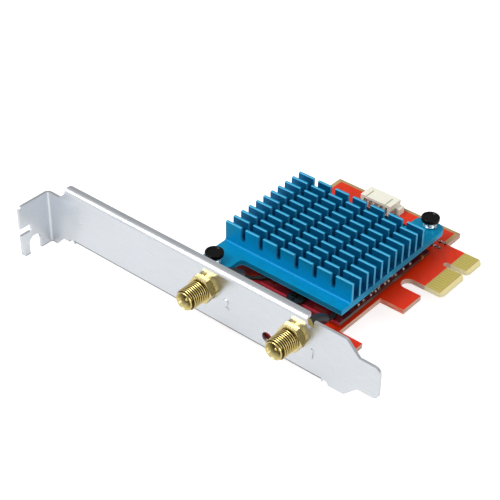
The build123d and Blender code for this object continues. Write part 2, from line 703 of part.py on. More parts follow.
for number in (1, 2):
    jack_x = jack_spots[number - 1]
    plug_x, plug_y = aerial_spots[number - 1]
    drop_x, drop_y = drop_spots[number - 1]
    start = Vector(jack_x, neck_end, jack_z)
    turn = Vector(jack_x, turn_y, jack_z)
    drop = Vector(drop_x, drop_y, lead_z)
    plug = Vector(plug_x, plug_y, lead_z)
    back = (drop - plug).normalized()
    barrel_end = plug + back * (PLUG_RADIUS + PLUG_BARREL_LENGTH)
    fall = (drop - turn).normalized()

    # Largest arc that takes 0.45 of the shorter run on each side of a corner
    first_half = fall.get_angle(Vector(0, 1, 0)) / 2
    first_run = min((turn - start).length, (drop - turn).length)
    first_arc = ARC_SHARE * first_run / math.tan(math.radians(first_half))
    second_half = fall.get_angle(back * -1) / 2
    second_run = min((drop - turn).length, (barrel_end - drop).length)
    second_arc = ARC_SHARE * second_run / math.tan(math.radians(second_half))

    with BuildPart() as aerial_plug:
        with BuildSketch(Plane.XY.offset(plug_z)):
            with Locations((plug_x, plug_y)):
                Circle(PLUG_RADIUS)
        extrude(amount=PLUG_HEIGHT)
        with BuildSketch(Plane(origin=barrel_end, z_dir=back * -1)):
            Circle(PLUG_BARREL)
        extrude(amount=PLUG_BARREL_LENGTH + PLUG_RADIUS / 2)
        with BuildSketch(Plane.XY.offset(plug_z)):
            with Locations((plug_x, plug_y)):
                Circle(AERIAL_RING + PLUG_GAP)
        extrude(amount=AERIAL_RING_HEIGHT + PLUG_GAP, mode=Mode.SUBTRACT)
        with BuildSketch(Plane.XY.offset(plug_z)):
            with Locations((plug_x, plug_y)):
                Rectangle(AERIAL_BASE + PLUG_GAP, AERIAL_BASE + PLUG_GAP)
        extrude(amount=-AERIAL_BASE_HEIGHT, mode=Mode.SUBTRACT)
    aerial_plug.part.label = f"aerial_plug_{number}"
    export_step(aerial_plug.part, f"parts/aerial_plug_{number}.step")

    with BuildPart() as antenna_cable:
        with BuildLine() as route:
            FilletPolyline(start, turn, drop, barrel_end, radius=[first_arc, second_arc])
        lead_length = sum(edge.length for edge in route.edges())
        print(f"lead {number}: radii {first_arc:.2f} and {second_arc:.2f}, length {lead_length:.2f}")
        with BuildSketch(Plane(origin=start, z_dir=(0, 1, 0))):
            Circle(CABLE_RADIUS)
        sweep(path=route.line)
    antenna_cable.part.label = f"antenna_cable_{number}"
    export_step(antenna_cable.part, f"parts/antenna_cable_{number}.step")

    sleeve_end = turn + (drop - turn) * SLEEVE_SHARE
    with BuildPart() as jack_sleeve:
        with BuildLine() as sleeve_route:
            FilletPolyline(start, turn, sleeve_end, radius=[first_arc])
        with BuildSketch(Plane(origin=start, z_dir=(0, 1, 0))):
            Circle(SLEEVE_RADIUS)
            Circle(CABLE_RADIUS, mode=Mode.SUBTRACT)
        sweep(path=sleeve_route.line)
    jack_sleeve.part.label = f"jack_sleeve_{number}"
    export_step(jack_sleeve.part, f"parts/jack_sleeve_{number}.step")

    # Jack: barrel with a bore, hexagon behind the plate and a neck for the lead. The free end is as
    # thick as its thread's crests; from the nut inwards the barrel is as thin as the thread's root.
    jack_axis = Axis((jack_x, 0, jack_z), (0, 1, 0))
    tip_y = face_y - THREAD_LENGTH
    bore_end = tip_y + JACK_BORE_DEPTH
    hex_end = back_y + JACK_HEX_DEPTH
    with BuildPart() as jack_body:
        with BuildSketch(Plane.XY.offset(jack_z)):
            with BuildLine():
                Polyline(
                    (jack_x, bore_end),
                    (jack_x + JACK_BORE, bore_end),
                    (jack_x + JACK_BORE, tip_y),
                    (jack_x + THREAD_RADIUS - THREAD_CHAMFER, tip_y),
                    (jack_x + THREAD_RADIUS, tip_y + THREAD_CHAMFER),
                    (jack_x + THREAD_RADIUS, nut_end - GRIP_STEP),
                    (jack_x + grip_radius, nut_end - GRIP_STEP),
                    (jack_x + grip_radius, back_y),
                    (jack_x + JACK_NECK, back_y),
                    (jack_x + JACK_NECK, neck_end),
                    (jack_x, neck_end),
                    close=True,
                )
            make_face()
        revolve(axis=jack_axis)
        with BuildSketch(Plane.XZ.offset(-back_y)):
            with Locations((jack_x, jack_z)):
                RegularPolygon(JACK_HEX / 2, 6, major_radius=False)
        extrude(amount=-JACK_HEX_DEPTH)
    jack_body.part.label = f"jack_{number}_body"
    export_step(jack_body.part, f"parts/jack_{number}_body.step")

    with BuildPart() as jack_core:
        with BuildSketch(Plane.XZ.offset(-bore_end)):
            with Locations((jack_x, jack_z)):
                Circle(JACK_BORE - CORE_GAP)
                Circle(CONTACT_RADIUS, mode=Mode.SUBTRACT)
        extrude(amount=CORE_DEPTH)
    jack_core.part.label = f"jack_{number}_core"
    export_step(jack_core.part, f"parts/jack_{number}_core.step")

    with BuildPart() as jack_contact:
        with BuildSketch(Plane.XZ.offset(-bore_end)):
            with Locations((jack_x, jack_z)):
                Circle(CONTACT_RADIUS)
        extrude(amount=CONTACT_REACH)
        chamfer(jack_contact.edges().group_by(Axis.Y)[0], CONTACT_RADIUS / 3)
    jack_contact.part.label = f"jack_{number}_contact"
    export_step(jack_contact.part, f"parts/jack_{number}_contact.step")

    with BuildPart() as jack_washer:
        with BuildSketch(face_plane):
            with Locations((jack_x, jack_z)):
                Circle(WASHER_RADIUS)
                Circle(THREAD_RADIUS + NUT_GAP, mode=Mode.SUBTRACT)
                with PolarLocations(WASHER_RADIUS, WASHER_NOTCHES):
                    Rectangle(WASHER_NOTCH, WASHER_NOTCH, mode=Mode.SUBTRACT)
        extrude(amount=WASHER_DEPTH)
    jack_washer.part.label = f"jack_{number}_washer"
    export_step(jack_washer.part, f"parts/jack_{number}_washer.step")

    with BuildPart() as jack_nut:
        with BuildSketch(face_plane.offset(WASHER_DEPTH)):
            with Locations((jack_x, jack_z)):
                RegularPolygon(NUT_HEX / 2, 6, major_radius=False)
        extrude(amount=NUT_DEPTH)
        with BuildSketch(Plane.XY.offset(jack_z)):
            with BuildLine():
                Polyline(
                    (jack_x, nut_start),
                    (jack_x + NUT_HEX / 2, nut_start),
                    (jack_x + nut_corner, nut_start - NUT_CHAMFER),
                    (jack_x + nut_corner, nut_end + NUT_CHAMFER),
                    (jack_x + NUT_HEX / 2, nut_end),
                    (jack_x, nut_end),
                    close=True,
                )
            make_face()
        revolve(axis=jack_axis, mode=Mode.INTERSECT)
        with BuildSketch(face_plane):
            with Locations((jack_x, jack_z)):
                Circle(grip_radius + NUT_GAP)
        extrude(amount=WASHER_DEPTH + NUT_DEPTH, mode=Mode.SUBTRACT)
    jack_nut.part.label = f"jack_{number}_nut"
    export_step(jack_nut.part, f"parts/jack_{number}_nut.step")

# Header for a data lead, open toward the far edge of the board
header_x = board_left + HEADER_FROM_SIDE + HEADER_WIDTH / 2
header_front = BOARD_FAR - HEADER_FROM_EDGE
header_back = header_front - HEADER_DEPTH

with BuildPart() as header_housing:
    with BuildSketch():
        with Locations((header_x, (header_back + header_front) / 2)):
            Rectangle(HEADER_WIDTH, HEADER_DEPTH)
    extrude(amount=HEADER_HEIGHT)
    with BuildSketch(Plane.XZ.offset(-header_front)):
        with Locations((header_x, HEADER_HEIGHT / 2)):
            Rectangle(HEADER_WIDTH - 2 * HEADER_WALL, HEADER_HEIGHT - 2 * HEADER_WALL)
    extrude(amount=HEADER_DEPTH - HEADER_BACK, mode=Mode.SUBTRACT)
    # Recess under an eave for the leads, two grooves along the top and a low foot at each side
    with BuildSketch():
        with Locations((header_x, header_back + HEADER_RECESS / 2)):
            Rectangle(HEADER_RECESS_WIDTH, HEADER_RECESS)
    extrude(amount=HEADER_HEIGHT - HEADER_EAVE, mode=Mode.SUBTRACT)
    with BuildSketch(Plane.XY.offset(HEADER_HEIGHT)):
        with Locations((header_x, header_back + HEADER_GROOVE_LENGTH / 2)):
            with GridLocations(HEADER_GROOVE_PITCH, 0, 2, 1):
                Rectangle(HEADER_GROOVE_WIDTH, HEADER_GROOVE_LENGTH)
    extrude(amount=-HEADER_GROOVE_DEPTH, mode=Mode.SUBTRACT)
    with BuildSketch():
        with Locations((header_x, header_front - HEADER_FOOT_DEPTH / 2)):
            with GridLocations(HEADER_WIDTH + HEADER_FOOT_WIDTH, 0, 2, 1):
                Rectangle(HEADER_FOOT_WIDTH, HEADER_FOOT_DEPTH)
    extrude(amount=HEADER_FOOT_HEIGHT)
    with BuildSketch(Plane.XZ.offset(-header_front)):
        with Locations((header_x, HEADER_PIN_RISE)):
            with GridLocations(HEADER_PITCH, 0, HEADER_PINS, 1):
                Rectangle(HEADER_PIN, HEADER_PIN)
    extrude(amount=HEADER_DEPTH, mode=Mode.SUBTRACT)
header_housing.part.label = "header_housing"
export_step(header_housing.part, "parts/header_housing.step")

pin_back = header_back + HEADER_RECESS - HEADER_PIN_OUT
pin_low = HEADER_PIN_RISE - HEADER_PIN / 2
with BuildPart() as header_pins:
    for place in range(HEADER_PINS):
        pin_side = header_x + (place - (HEADER_PINS - 1) / 2) * HEADER_PITCH - HEADER_PIN / 2
        with BuildSketch(Plane.YZ.offset(pin_side)):
            with BuildLine():
                Polyline(
                    (header_back + HEADER_PIN_REACH, pin_low),
                    (header_back + HEADER_PIN_REACH, pin_low + HEADER_PIN),
                    (pin_back - HEADER_PIN, pin_low + HEADER_PIN),
                    (pin_back - HEADER_PIN, HEADER_PIN),
                    (pin_back - HEADER_PIN - HEADER_PIN_FOOT, HEADER_PIN),
                    (pin_back - HEADER_PIN - HEADER_PIN_FOOT, 0),
                    (pin_back, 0),
                    (pin_back, pin_low),
                    close=True,
                )
            make_face()
        extrude(amount=HEADER_PIN)
header_pins.part.label = "header_pins"
export_step(header_pins.part, "parts/header_pins.step")

# Sheet anchors soldered down beside the header, one at each foot
anchor_y = header_front - HEADER_FOOT_DEPTH - ANCHOR_LENGTH / 2
with BuildPart() as header_anchors:
    with BuildSketch():
        with Locations((header_x, anchor_y)):
            with GridLocations(HEADER_WIDTH + ANCHOR_FOOT, 0, 2, 1):
                Rectangle(ANCHOR_FOOT, ANCHOR_LENGTH)
    extrude(amount=ANCHOR_THICKNESS)
    with BuildSketch():
        with Locations((header_x, anchor_y)):
            with GridLocations(HEADER_WIDTH + ANCHOR_THICKNESS, 0, 2, 1):
                Rectangle(ANCHOR_THICKNESS, ANCHOR_LENGTH)
    extrude(amount=ANCHOR_RISE)
header_anchors.part.label = "header_anchors"
export_step(header_anchors.part, "parts/header_anchors.step")

# Screws through the board into the bracket's ears
with BuildPart() as board_screws:
    with BuildSketch():
        with Locations(*board_screw_spots):
            Circle(BOARD_SCREW_HEAD)
    extrude(amount=BOARD_SCREW_HEIGHT)
    fillet(board_screws.faces().group_by(Axis.Z)[-1].edges(), BOARD_SCREW_HEIGHT / 2)
    with BuildSketch():
        with Locations(*board_screw_spots):
            Circle(BOARD_SCREW_RADIUS)
    extrude(amount=-BOARD_SCREW_LENGTH)
    with BuildSketch(Plane.XY.offset(BOARD_SCREW_HEIGHT)):
        with Locations(*board_screw_spots):
            Rectangle(CROSS_SLOT_LENGTH, CROSS_SLOT_WIDTH)
            Rectangle(CROSS_SLOT_WIDTH, CROSS_SLOT_LENGTH)
    extrude(amount=-CROSS_SLOT_DEPTH, mode=Mode.SUBTRACT)
board_screws.part.label = "board_screws"
export_step(board_screws.part, "parts/board_screws.step")

# Small two-ended chips on the module and on the main board
module_chip_spots = []
for index in range(MODULE_CHIPS):
    chip_y = shield_y - (index - (MODULE_CHIPS - 1) / 2) * MODULE_CHIP_PITCH
    module_chip_spots.append((module_right - MODULE_CHIP_INSET, chip_y))
with BuildPart() as module_chips:
    with BuildSketch(Plane.XY.offset(module_top)):
        with Locations(*module_chip_spots):
            Rectangle(CHIP_SIZE, CHIP_DEPTH)
    extrude(amount=CHIP_HEIGHT)
module_chips.part.label = "module_chips"
export_step(module_chips.part, "parts/module_chips.step")

with BuildPart() as board_chips:
    with BuildSketch():
        with Locations((board_right - BOARD_CHIP_INSET, socket_far + BOARD_CHIP_STEP)):
            with GridLocations(BOARD_CHIP_PITCH, BOARD_CHIP_STEP, 2, 2):
                Rectangle(CHIP_SIZE, CHIP_DEPTH)
    extrude(amount=CHIP_HEIGHT)
board_chips.part.label = "board_chips"
export_step(board_chips.part, "parts/board_chips.step")
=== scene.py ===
import math

import bmesh
import bpy
from mathutils import Matrix, Vector


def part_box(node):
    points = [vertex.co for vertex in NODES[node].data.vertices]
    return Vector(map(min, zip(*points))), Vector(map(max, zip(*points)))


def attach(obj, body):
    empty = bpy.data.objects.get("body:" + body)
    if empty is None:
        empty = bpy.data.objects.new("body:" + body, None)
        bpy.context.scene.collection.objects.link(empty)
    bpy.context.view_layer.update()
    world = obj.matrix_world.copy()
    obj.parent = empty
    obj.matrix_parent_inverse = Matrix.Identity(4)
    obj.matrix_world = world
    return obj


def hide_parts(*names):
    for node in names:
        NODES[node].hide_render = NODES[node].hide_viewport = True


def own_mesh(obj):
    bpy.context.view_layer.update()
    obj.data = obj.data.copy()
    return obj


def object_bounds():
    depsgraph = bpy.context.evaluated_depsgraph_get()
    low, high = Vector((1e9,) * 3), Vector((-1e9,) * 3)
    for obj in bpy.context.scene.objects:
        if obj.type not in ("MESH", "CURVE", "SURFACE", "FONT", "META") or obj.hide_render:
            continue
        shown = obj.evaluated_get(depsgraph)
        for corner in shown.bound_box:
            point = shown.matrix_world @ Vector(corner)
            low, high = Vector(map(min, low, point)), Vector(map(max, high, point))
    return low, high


bl_info = {
    "name": "Wireless card",
    "version": (1, 0, 0),
    "blender": (4, 5, 0),
    "location": "View3D > Sidebar > Card",
    "description": "Finishes a plug-in wireless card and sets its studio",
    "category": "Object",
}

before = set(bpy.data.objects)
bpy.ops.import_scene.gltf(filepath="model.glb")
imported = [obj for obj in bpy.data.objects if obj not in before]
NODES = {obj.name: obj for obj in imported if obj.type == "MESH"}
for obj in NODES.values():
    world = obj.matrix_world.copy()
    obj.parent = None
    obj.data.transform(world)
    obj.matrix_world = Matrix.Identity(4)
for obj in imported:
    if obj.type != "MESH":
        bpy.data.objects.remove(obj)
CAD_BOX = [list(corner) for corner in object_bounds()]

MM = 0.001
WHITE = (1.0, 1.0, 1.0, 1.0)
BODY = "card"
SIDES = ("near", "far")
JACKS = (1, 2)

# Places that the finishes need and that no node's box gives, in metres
BOARD_RIGHT_EDGE = -12.1 * MM
BORDER = 1.3 * MM
MASK_END = -6.0 * MM
FIN_PITCH = 3.27 * MM
FIN_MIDDLE_Y = -21.35 * MM
FIN_HALF = 0.4 * MM
FIN_ROWS = 11
PLINTH = (6.13 * MM, 6.48 * MM)
THREAD_CREST = 3.175 * MM
BORE_RIM = 2.45 * MM
PLATE = 0.86 * MM
PLATE_LOWER_EDGE = -4.57 * MM
PLATE_BEND = 1.5 * MM
JACK_NECK = 2.3 * MM
JACK_HEXAGON = 2.6 * MM
# Further than any part of the card from any place on it
BEYOND = 1.0

# Widths of what the finishes draw along the edges
SHEARED_EDGE = 0.22 * MM
FAR_BORDER = 1.1 * MM
CORNER_PAST_FINGERS = 0.9 * MM
FINGER_BEVEL = 1.0 * MM
STAIN_BEFORE_FINGERS = 2.5 * MM
MASK_OVERRUN = 1.0 * MM
HALF_HOLE_FROM_END = (6.9 * MM, 6.1 * MM)
HALF_HOLE_DEPTH = 0.7 * MM
CREST_EDGE = 0.14 * MM
BORE_SHADE = (0.7 * MM, 2.6 * MM)
PLAIN_TIP = 0.35 * MM

# Turned edges and the thread of the jacks
CORE_FIT = 0.02 * MM
BORE_LEAD_IN = (0.2 * MM, 0.25 * MM)
TIP_CHAMFER = 0.2 * MM
BACK_CHAMFER = 0.15 * MM
THREAD_INTO_NUT = 0.9 * MM
THREAD_FROM_TIP = 0.75 * MM
THREAD_LAND = 0.06 * MM
THREAD_SUNK = 0.05 * MM

# Detail that the finish adds
SPRING_TURNS = 4.0
COIL_STEPS = 24
RING_STEPS = 40
BARREL_SIDES = 64
CHIP_SPOTS = (9.2, 11.6, 14.8, 17.0, 18.6, 21.4, 23.0, 26.6, 30.2, 33.4)
CHIP_INSET = 0.75 * MM
CHIP_HEIGHT = 0.44 * MM
# For each port number: the jack it stands beside, and how far right of and above the jack's axis it is
NUMERAL_SPOTS = {2: (1, 7.05 * MM, -2.9 * MM), 1: (2, 5.65 * MM, -3.6 * MM)}

# Paper's own tone, and the light it gives to the camera and to what mirrors it
PAPER_WHITE = 0.5
PAPER_LIFT = 0.78
MIRRORED_LIFT = 0.42
LAMP_TARGET = Vector((-0.04, -0.03, 0.0))

# Camera fitted to the photograph
CAMERA_AZIMUTH = math.radians(39.83)
CAMERA_ELEVATION = math.radians(36.65)
CAMERA_ROLL = math.radians(0.657)
CAMERA_PLACE = (148.47 * MM, -273.32 * MM, 234.56 * MM)
CAMERA_LENS = 98.56


# Sizes and places read from the frame
def node_centre(name):
    """Middle of a node's box."""
    low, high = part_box(name)
    return (Vector(low) + Vector(high)) / 2


def plate_face():
    """How far along Y the bracket's outer face lies, which the toothed washers rest on."""
    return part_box("jack_1_washer")[1][1]


def hex_colour(text):
    """Linear colour with full alpha from an sRGB hex value."""
    channels = [int(text[place:place + 2], 16) / 255 for place in (1, 3, 5)]
    linear = [c / 12.92 if c <= 0.04045 else ((c + 0.055) / 1.055) ** 2.4 for c in channels]
    return (*linear, 1.0)


def darker(colour, share):
    """The same colour with less light in it."""
    return (*(c * share for c in colour[:3]), 1.0)


def colour_property(name, text, description):
    """Colour setting of the add-on, given by its hex value."""
    return bpy.props.FloatVectorProperty(
        name=name, description=description, subtype="COLOR", size=4, min=0.0, max=1.0,
        default=hex_colour(text),
    )


def length_property(name, millimetres, description):
    """Length setting of the add-on, given in millimetres."""
    return bpy.props.FloatProperty(
        name=name, description=description, unit="LENGTH", precision=5, default=millimetres * MM
    )


class CardSizes(bpy.types.PropertyGroup):
    """Sizes of the detail that the finish adds."""

    thread_pitch: length_property("Thread pitch", 0.7056, "Distance between the crests of a jack's thread")
    thread_depth: length_property("Thread depth", 0.42, "Height of a crest above the thread's root")
    spring_wire: length_property("Spring wire", 0.44, "Thickness of the wire under a push pin's head")
    numeral_height: length_property("Numeral height", 4.2, "Height of the port numbers on the bracket")
    numeral_rise: length_property("Numeral rise", 0.22, "How far the port numbers stand off the bracket")
    grain: length_property("Plating grain", 0.5, "Size of the mottle in the bracket's plating")
    chip: length_property("Chip length", 0.9, "Length of the small chips along the module's edge")


class CardColours(bpy.types.PropertyGroup):
    """Colours of the card's finishes."""

    steel: colour_property("Bracket plating", "#D7DBE0", "Zinc plating on the bracket")
    mask: colour_property("Solder mask", "#D02E0C", "Red solder mask of the main board")
    # Module's red mask, darkened further as painted shade under the heatsink
    mask_dark: colour_property("Module mask", "#66101A", "Darker red solder mask of the module")
    laminate: colour_property("Laminate", "#B3966A", "Bare glass-epoxy at edges and borders")
    gold: colour_property("Gold", "#D2BC78", "Gold plating on jacks and plugs")
    finger: colour_property("Hard gold", "#D0C562", "Hard gold of the edge fingers")
    anodised: colour_property("Anodised blue", "#0092BE", "Blue dye of the heatsink")
    # Colour of the painted highlights on the heatsink
    crest: colour_property("Fin crest", "#5CC8F4", "Paler blue along the sawn edges of the fins")
    nylon: colour_property("Black nylon", "#060607", "Moulded push pins")
    ivory: colour_property("Ivory nylon", "#E0DFD0", "Moulded data header")
    rubber: colour_property("Black tube", "#1E2224", "Shrunk tube and lead jackets")


# Shader building
def add_node(tree, kind, inputs=None, **settings):
    """Add a node, set its properties, and feed its inputs with values or with other nodes' outputs."""
    made = tree.nodes.new(kind)
    for name, value in settings.items():
        setattr(made, name, value)
    for name, value in (inputs or {}).items():
        if isinstance(value, bpy.types.NodeSocket):
            tree.links.new(value, made.inputs[name])
        else:
            made.inputs[name].default_value = value
    return made


def start_material(name, **shader_values):
    """New material with one surface shader; returns the material, its tree and the shader."""
    material = bpy.data.materials.new(name)
    material.use_nodes = True
    tree = material.node_tree
    tree.nodes.clear()
    shader = add_node(tree, "ShaderNodeBsdfPrincipled")
    for socket, value in shader_values.items():
        shader.inputs[socket.replace("_", " ")].default_value = value
    output = add_node(tree, "ShaderNodeOutputMaterial")
    tree.links.new(shader.outputs["BSDF"], output.inputs["Surface"])
    return material, tree, shader


def mixed(tree, factor, first, second):
    """Colour between two colours by a factor."""
    blend = add_node(tree, "ShaderNodeMix", {0: factor, 6: first, 7: second}, data_type="RGBA")
    return blend.outputs[2]


def combine(tree, operation, first, second):
    """Result of a sum, product or the like of two values."""
    return add_node(tree, "ShaderNodeMath", {0: first, 1: second}, operation=operation).outputs[0]


def band(tree, value, low, high, soft=0.02 * MM):
    """1 where a value lies between two limits, with a narrow soft edge, else 0."""
    rise = remap(tree, value, low - soft, low + soft)
    drop = remap(tree, value, high - soft, high + soft, 1.0, 0.0)
    return combine(tree, "MULTIPLY", rise, drop)


def both(tree, *factors):
    """Product of several factors."""
    result = factors[0]
    for factor in factors[1:]:
        result = combine(tree, "MULTIPLY", result, factor)
    return result


def either(tree, *factors):
    """Largest of several factors."""
    result = factors[0]
    for factor in factors[1:]:
        result = combine(tree, "MAXIMUM", result, factor)
    return result


def coordinates(tree):
    """Object coordinates and their three parts."""
    where = add_node(tree, "ShaderNodeTexCoord").outputs["Object"]
    parts = add_node(tree, "ShaderNodeSeparateXYZ", {0: where})
    return where, parts.outputs[0], parts.outputs[1], parts.outputs[2]


def facing(tree):
    """The three parts of the surface's own direction."""
    direction = add_node(tree, "ShaderNodeNewGeometry").outputs["Normal"]
    return add_node(tree, "ShaderNodeSeparateXYZ", {0: direction}).outputs


def noise(tree, where, millimetres, detail=2.0):
    """Noise whose blotches are about the given size."""
    values = {"Vector": where, "Scale": 1 / (millimetres * MM), "Detail": detail}
    return add_node(tree, "ShaderNodeTexNoise", values).outputs["Fac"]


def stripes(tree, where, count, direction):
    """Soft straight stripes. A count of 1 sets them 2 mm apart, or 2.8 mm if they are diagonal."""
    values = {"Vector": where, "Scale": count / (2 * math.pi * MM), "Distortion": 0.0}
    return add_node(
        tree, "ShaderNodeTexWave", values, wave_type="BANDS", bands_direction=direction, wave_profile="SIN"
    ).outputs["Fac"]


def cut_side(tree, toward):
    """1 where a surface stands upright, as a board's cut sides do, else 0."""
    return remap(tree, combine(tree, "ABSOLUTE", toward[2], 0.0), 0.35, 0.6, 1.0, 0.0)


def faces_bracket(tree, toward):
    """1 where a surface looks toward the bracket, else 0."""
    return remap(tree, toward[1], -0.5, -0.8)


def stretched(tree, where, scale):
    """Coordinates drawn out along an axis wherever the scale is small."""
    return add_node(tree, "ShaderNodeMapping", {"Vector": where, "Scale": scale}).outputs[0]


def remap(tree, value, low, high, to_low=0.0, to_high=1.0):
    """Carry a value from one range to another and hold it inside that one."""
    ends = {"Value": value, 1: low, 2: high, 3: to_low, 4: to_high}
    return add_node(tree, "ShaderNodeMapRange", ends).outputs[0]


def bump(tree, shader, height, millimetres):
    """Raise the surface by a height of up to the given depth."""
    made = add_node(tree, "ShaderNodeBump", {"Distance": millimetres * MM, "Height": height})
    tree.links.new(made.outputs["Normal"], shader.inputs["Normal"])


def plain_variation(name, colour, roughness, blotch, amount, depth, **shader_values):
    """Finish with a little mottle in colour and roughness and a fine bump."""
    material, tree, shader = start_material(name, **shader_values)
    where, _, _, _ = coordinates(tree)
    cloud = noise(tree, where, blotch, 3.0)
    tone = mixed(tree, cloud, darker(colour, 1 - amount), tuple(colour))
    gloss = remap(tree, cloud, 0.3, 0.7, roughness * 0.85, roughness * 1.15)
    tree.links.new(tone, shader.inputs["Base Color"])
    tree.links.new(gloss, shader.inputs["Roughness"])
    bump(tree, shader, noise(tree, where, blotch / 4, 2.0), depth)
    return material


def dress(material, *names):
    """Give CAD nodes a finish."""
    for name in names:
        slots = NODES[name].data.materials
        slots.clear()
        slots.append(material)


# Finishes
def zinc_plated_steel(sizes, colours):
    """Zinc-plated cold-rolled steel: satin silver, finely mottled, with faint rolling lines along it."""
    material, tree, shader = start_material("zinc_plated_steel", Metallic=1.0)
    where, _, _, z = coordinates(tree)
    mottle = noise(tree, where, sizes.grain / MM, 4.0)
    rolling = noise(tree, stretched(tree, where, (0.06, 1.0, 1.0)), 0.35, 3.0)
    cloud = noise(tree, where, 14.0, 2.0)
    half_mottle = combine(tree, "MULTIPLY", mottle, 0.5)
    half_rolling = combine(tree, "MULTIPLY", rolling, 0.5)
    grain = combine(tree, "ADD", half_mottle, half_rolling)
    steel = tuple(colours.steel)
    shade = remap(tree, grain, 0.35, 0.65)
    plating = mixed(tree, shade, darker(steel, 0.94), steel)
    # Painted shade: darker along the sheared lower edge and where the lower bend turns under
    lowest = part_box("bracket")[0][2]
    sheared = band(tree, z, -BEYOND, lowest + SHEARED_EDGE)
    bend = band(tree, z, -BEYOND, PLATE_LOWER_EDGE + PLATE_BEND)
    under = both(tree, remap(tree, facing(tree)[2], -0.06, -0.3), bend)
    painted_shade = either(tree, sheared, under)
    tree.links.new(mixed(tree, painted_shade, plating, darker(steel, 0.22)), shader.inputs["Base Color"])
    tree.links.new(remap(tree, cloud, 0.3, 0.7, 0.27, 0.37), shader.inputs["Roughness"])
    bump(tree, shader, grain, 0.005)
    return material


def red_board_laminate(colours):
    """Glass-epoxy board under red solder mask. Traces and vias show faintly through the mask, the border and
    the finger edge are bare laminate, and the cut sides show fibre, redder on the sides that face the
    bracket."""
    material, tree, shader = start_material(
        "red_board_laminate", Specular_IOR_Level=0.2, Coat_Weight=0.05, Coat_Roughness=0.2
    )
    where, x, y, _ = coordinates(tree)
    toward = facing(tree)
    low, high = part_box("main_board")
    finger_low, finger_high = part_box("edge_fingers_top")
    mask = tuple(colours.mask)
    tan = tuple(colours.laminate)
    pour = remap(tree, noise(tree, where, 11.0, 1.0), 0.47, 0.53)
    traces = stripes(tree, where, 0.9, "DIAGONAL")
    lines = both(tree, remap(tree, traces, 0.66, 0.8), pour)
    mask_colour = mixed(tree, lines, mask, darker(mask, 0.93))
    cells = add_node(
        tree, "ShaderNodeTexVoronoi", {"Vector": where, "Scale": 1 / (4.2 * MM), "Randomness": 1.0}
    ).outputs["Distance"]
    vias = remap(tree, cells, 0.04, 0.06, 0.35, 0.0)
    mask_colour = mixed(tree, vias, mask_colour, darker(mask, 0.45))
    # Bare border along the left and far edges, round the far right corner and between the fingers
    side_band = band(tree, x, low[0] - BORDER, low[0] + BORDER)
    far_band = band(tree, y, high[1] - FAR_BORDER, high[1] + BORDER)
    corner = both(
        tree,
        band(tree, x, BOARD_RIGHT_EDGE - BORDER, BOARD_RIGHT_EDGE + BORDER),
        band(tree, y, finger_high[1] + CORNER_PAST_FINGERS, BEYOND),
    )
    fingers = both(
        tree, band(tree, x, MASK_END, BEYOND),
        band(tree, y, finger_low[1] - BORDER, finger_high[1] + BORDER),
    )
    bare = either(tree, side_band, far_band, corner, fingers)
    # The cloth's real threads are hardly wider than a picture point, so the weave is drawn a little coarse
    weave = stripes(tree, where, 2.2, "Y")
    laminate = mixed(tree, weave, darker(tan, 0.84), tan)
    # Between the fingers the laminate is yellower, and paler on the bevel at their tips
    laminate = mixed(tree, fingers, laminate, hex_colour("#B09764"))
    bevel = band(tree, x, -FINGER_BEVEL, BEYOND)
    laminate = mixed(tree, bevel, laminate, hex_colour("#CDC28C"))
    laminate = mixed(tree, far_band, laminate, darker(tan, 0.76))
    face_colour = mixed(tree, bare, mask_colour, laminate)
    sheets = noise(tree, stretched(tree, where, (0.25, 0.25, 4.0)), 0.9, 3.0)
    layers = remap(tree, sheets, 0.35, 0.65)
    fibre = mixed(tree, layers, hex_colour("#B08C7C"), hex_colour("#D2AE9C"))
    redder_fibre = mixed(tree, layers, hex_colour("#D8664C"), hex_colour("#EE9A80"))
    before_fingers = band(tree, y, -BEYOND, finger_low[1] - STAIN_BEFORE_FINGERS)
    toward_bracket = both(tree, faces_bracket(tree, toward), before_fingers)
    fibre = mixed(tree, toward_bracket, fibre, redder_fibre)
    fibre = mixed(tree, fingers, fibre, hex_colour("#DDD2A4"))
    # Near the bracket the mask has run over the edge
    overrun = band(tree, y, -BEYOND, low[1] + MASK_OVERRUN)
    fibre = mixed(tree, overrun, fibre, hex_colour("#5E1014"))
    cut = cut_side(tree, toward)
    tree.links.new(mixed(tree, cut, face_colour, fibre), shader.inputs["Base Color"])
    dry = either(tree, bare, cut)
    tree.links.new(remap(tree, dry, 0.0, 1.0, 0.38, 0.6), shader.inputs["Roughness"])
    bump(tree, shader, combine(tree, "ADD", lines, both(tree, layers, cut)), 0.015)
    return material


